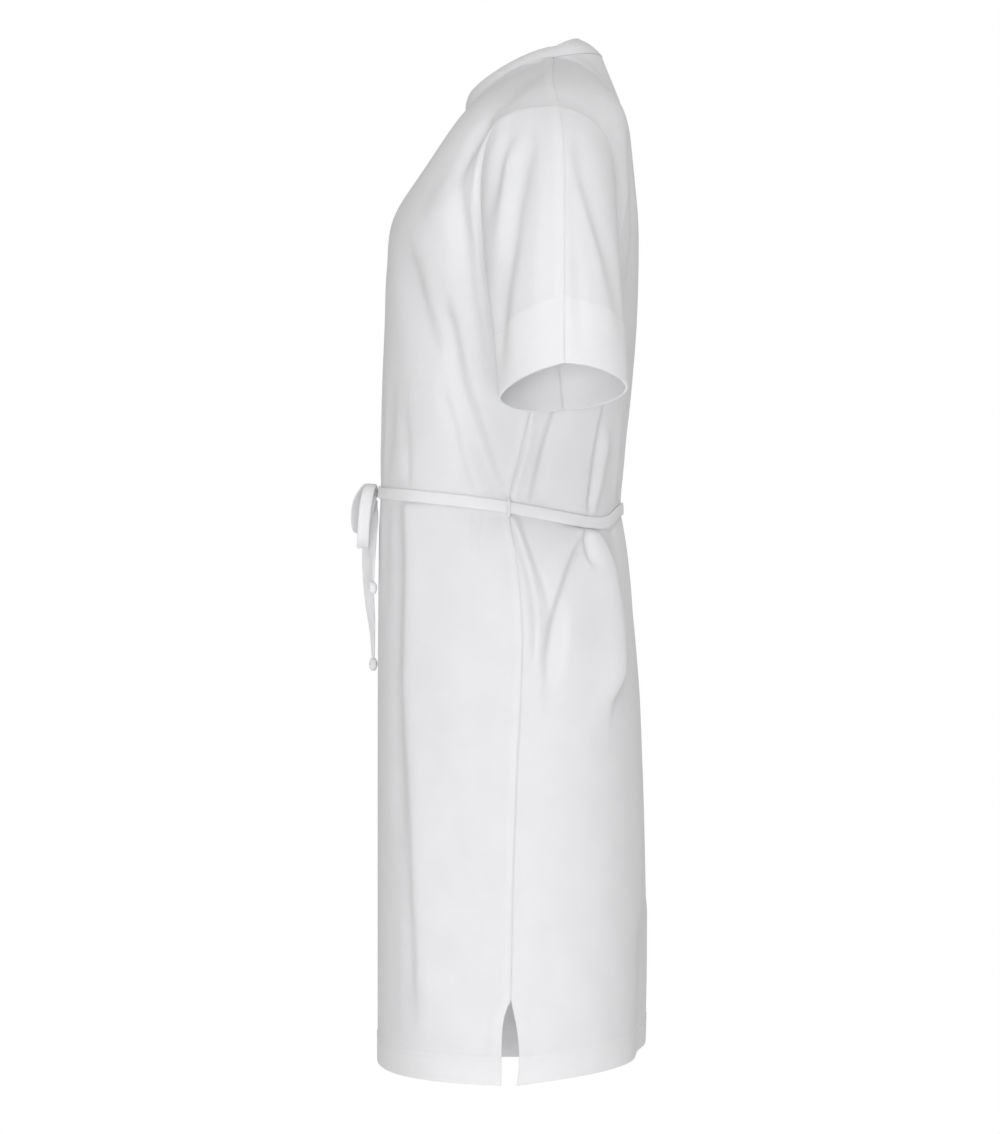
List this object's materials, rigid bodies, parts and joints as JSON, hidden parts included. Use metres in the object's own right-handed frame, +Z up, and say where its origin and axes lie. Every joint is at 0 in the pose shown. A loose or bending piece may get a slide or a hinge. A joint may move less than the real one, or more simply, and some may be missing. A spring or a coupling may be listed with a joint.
{
  "type": "belted T-shirt dress",
  "caption": "Knee-length white jersey dress, worn shape: crew neckband, dropped half sleeves with deep hems, side slits and a narrow belt tied in a bow.",
  "frame": {"origin": "midway between the two points where the neckband meets the shoulder seams, where the wearer's shoulders hold the dress", "axes": "+X to the wearer's left, -Y to the wearer's front, +Z up along the wearer"},
  "size_m": [0.5998, 0.2803, 0.9738],
  "materials": {
    "jersey": "matt heavy cotton jersey, fine knit",
    "belt_jersey": "matt cotton jersey, pressed flat"
  },
  "bodies": {
    "root": {"front": "jersey", "back": "jersey", "sleeve_left_front": "jersey", "sleeve_left_back": "jersey", "sleeve_right_front": "jersey", "sleeve_right_back": "jersey", "neckband": "jersey", "belt": "belt_jersey", "bow_knot": "belt_jersey", "bow_loop_left": "belt_jersey", "bow_loop_right": "belt_jersey", "tie_tail_long": "belt_jersey", "tie_tail_short": "belt_jersey", "end_knot_long": "belt_jersey", "end_knot_short": "belt_jersey", "belt_loop_left": "belt_jersey", "belt_loop_right": "belt_jersey"}
  },
  "joints": []
}
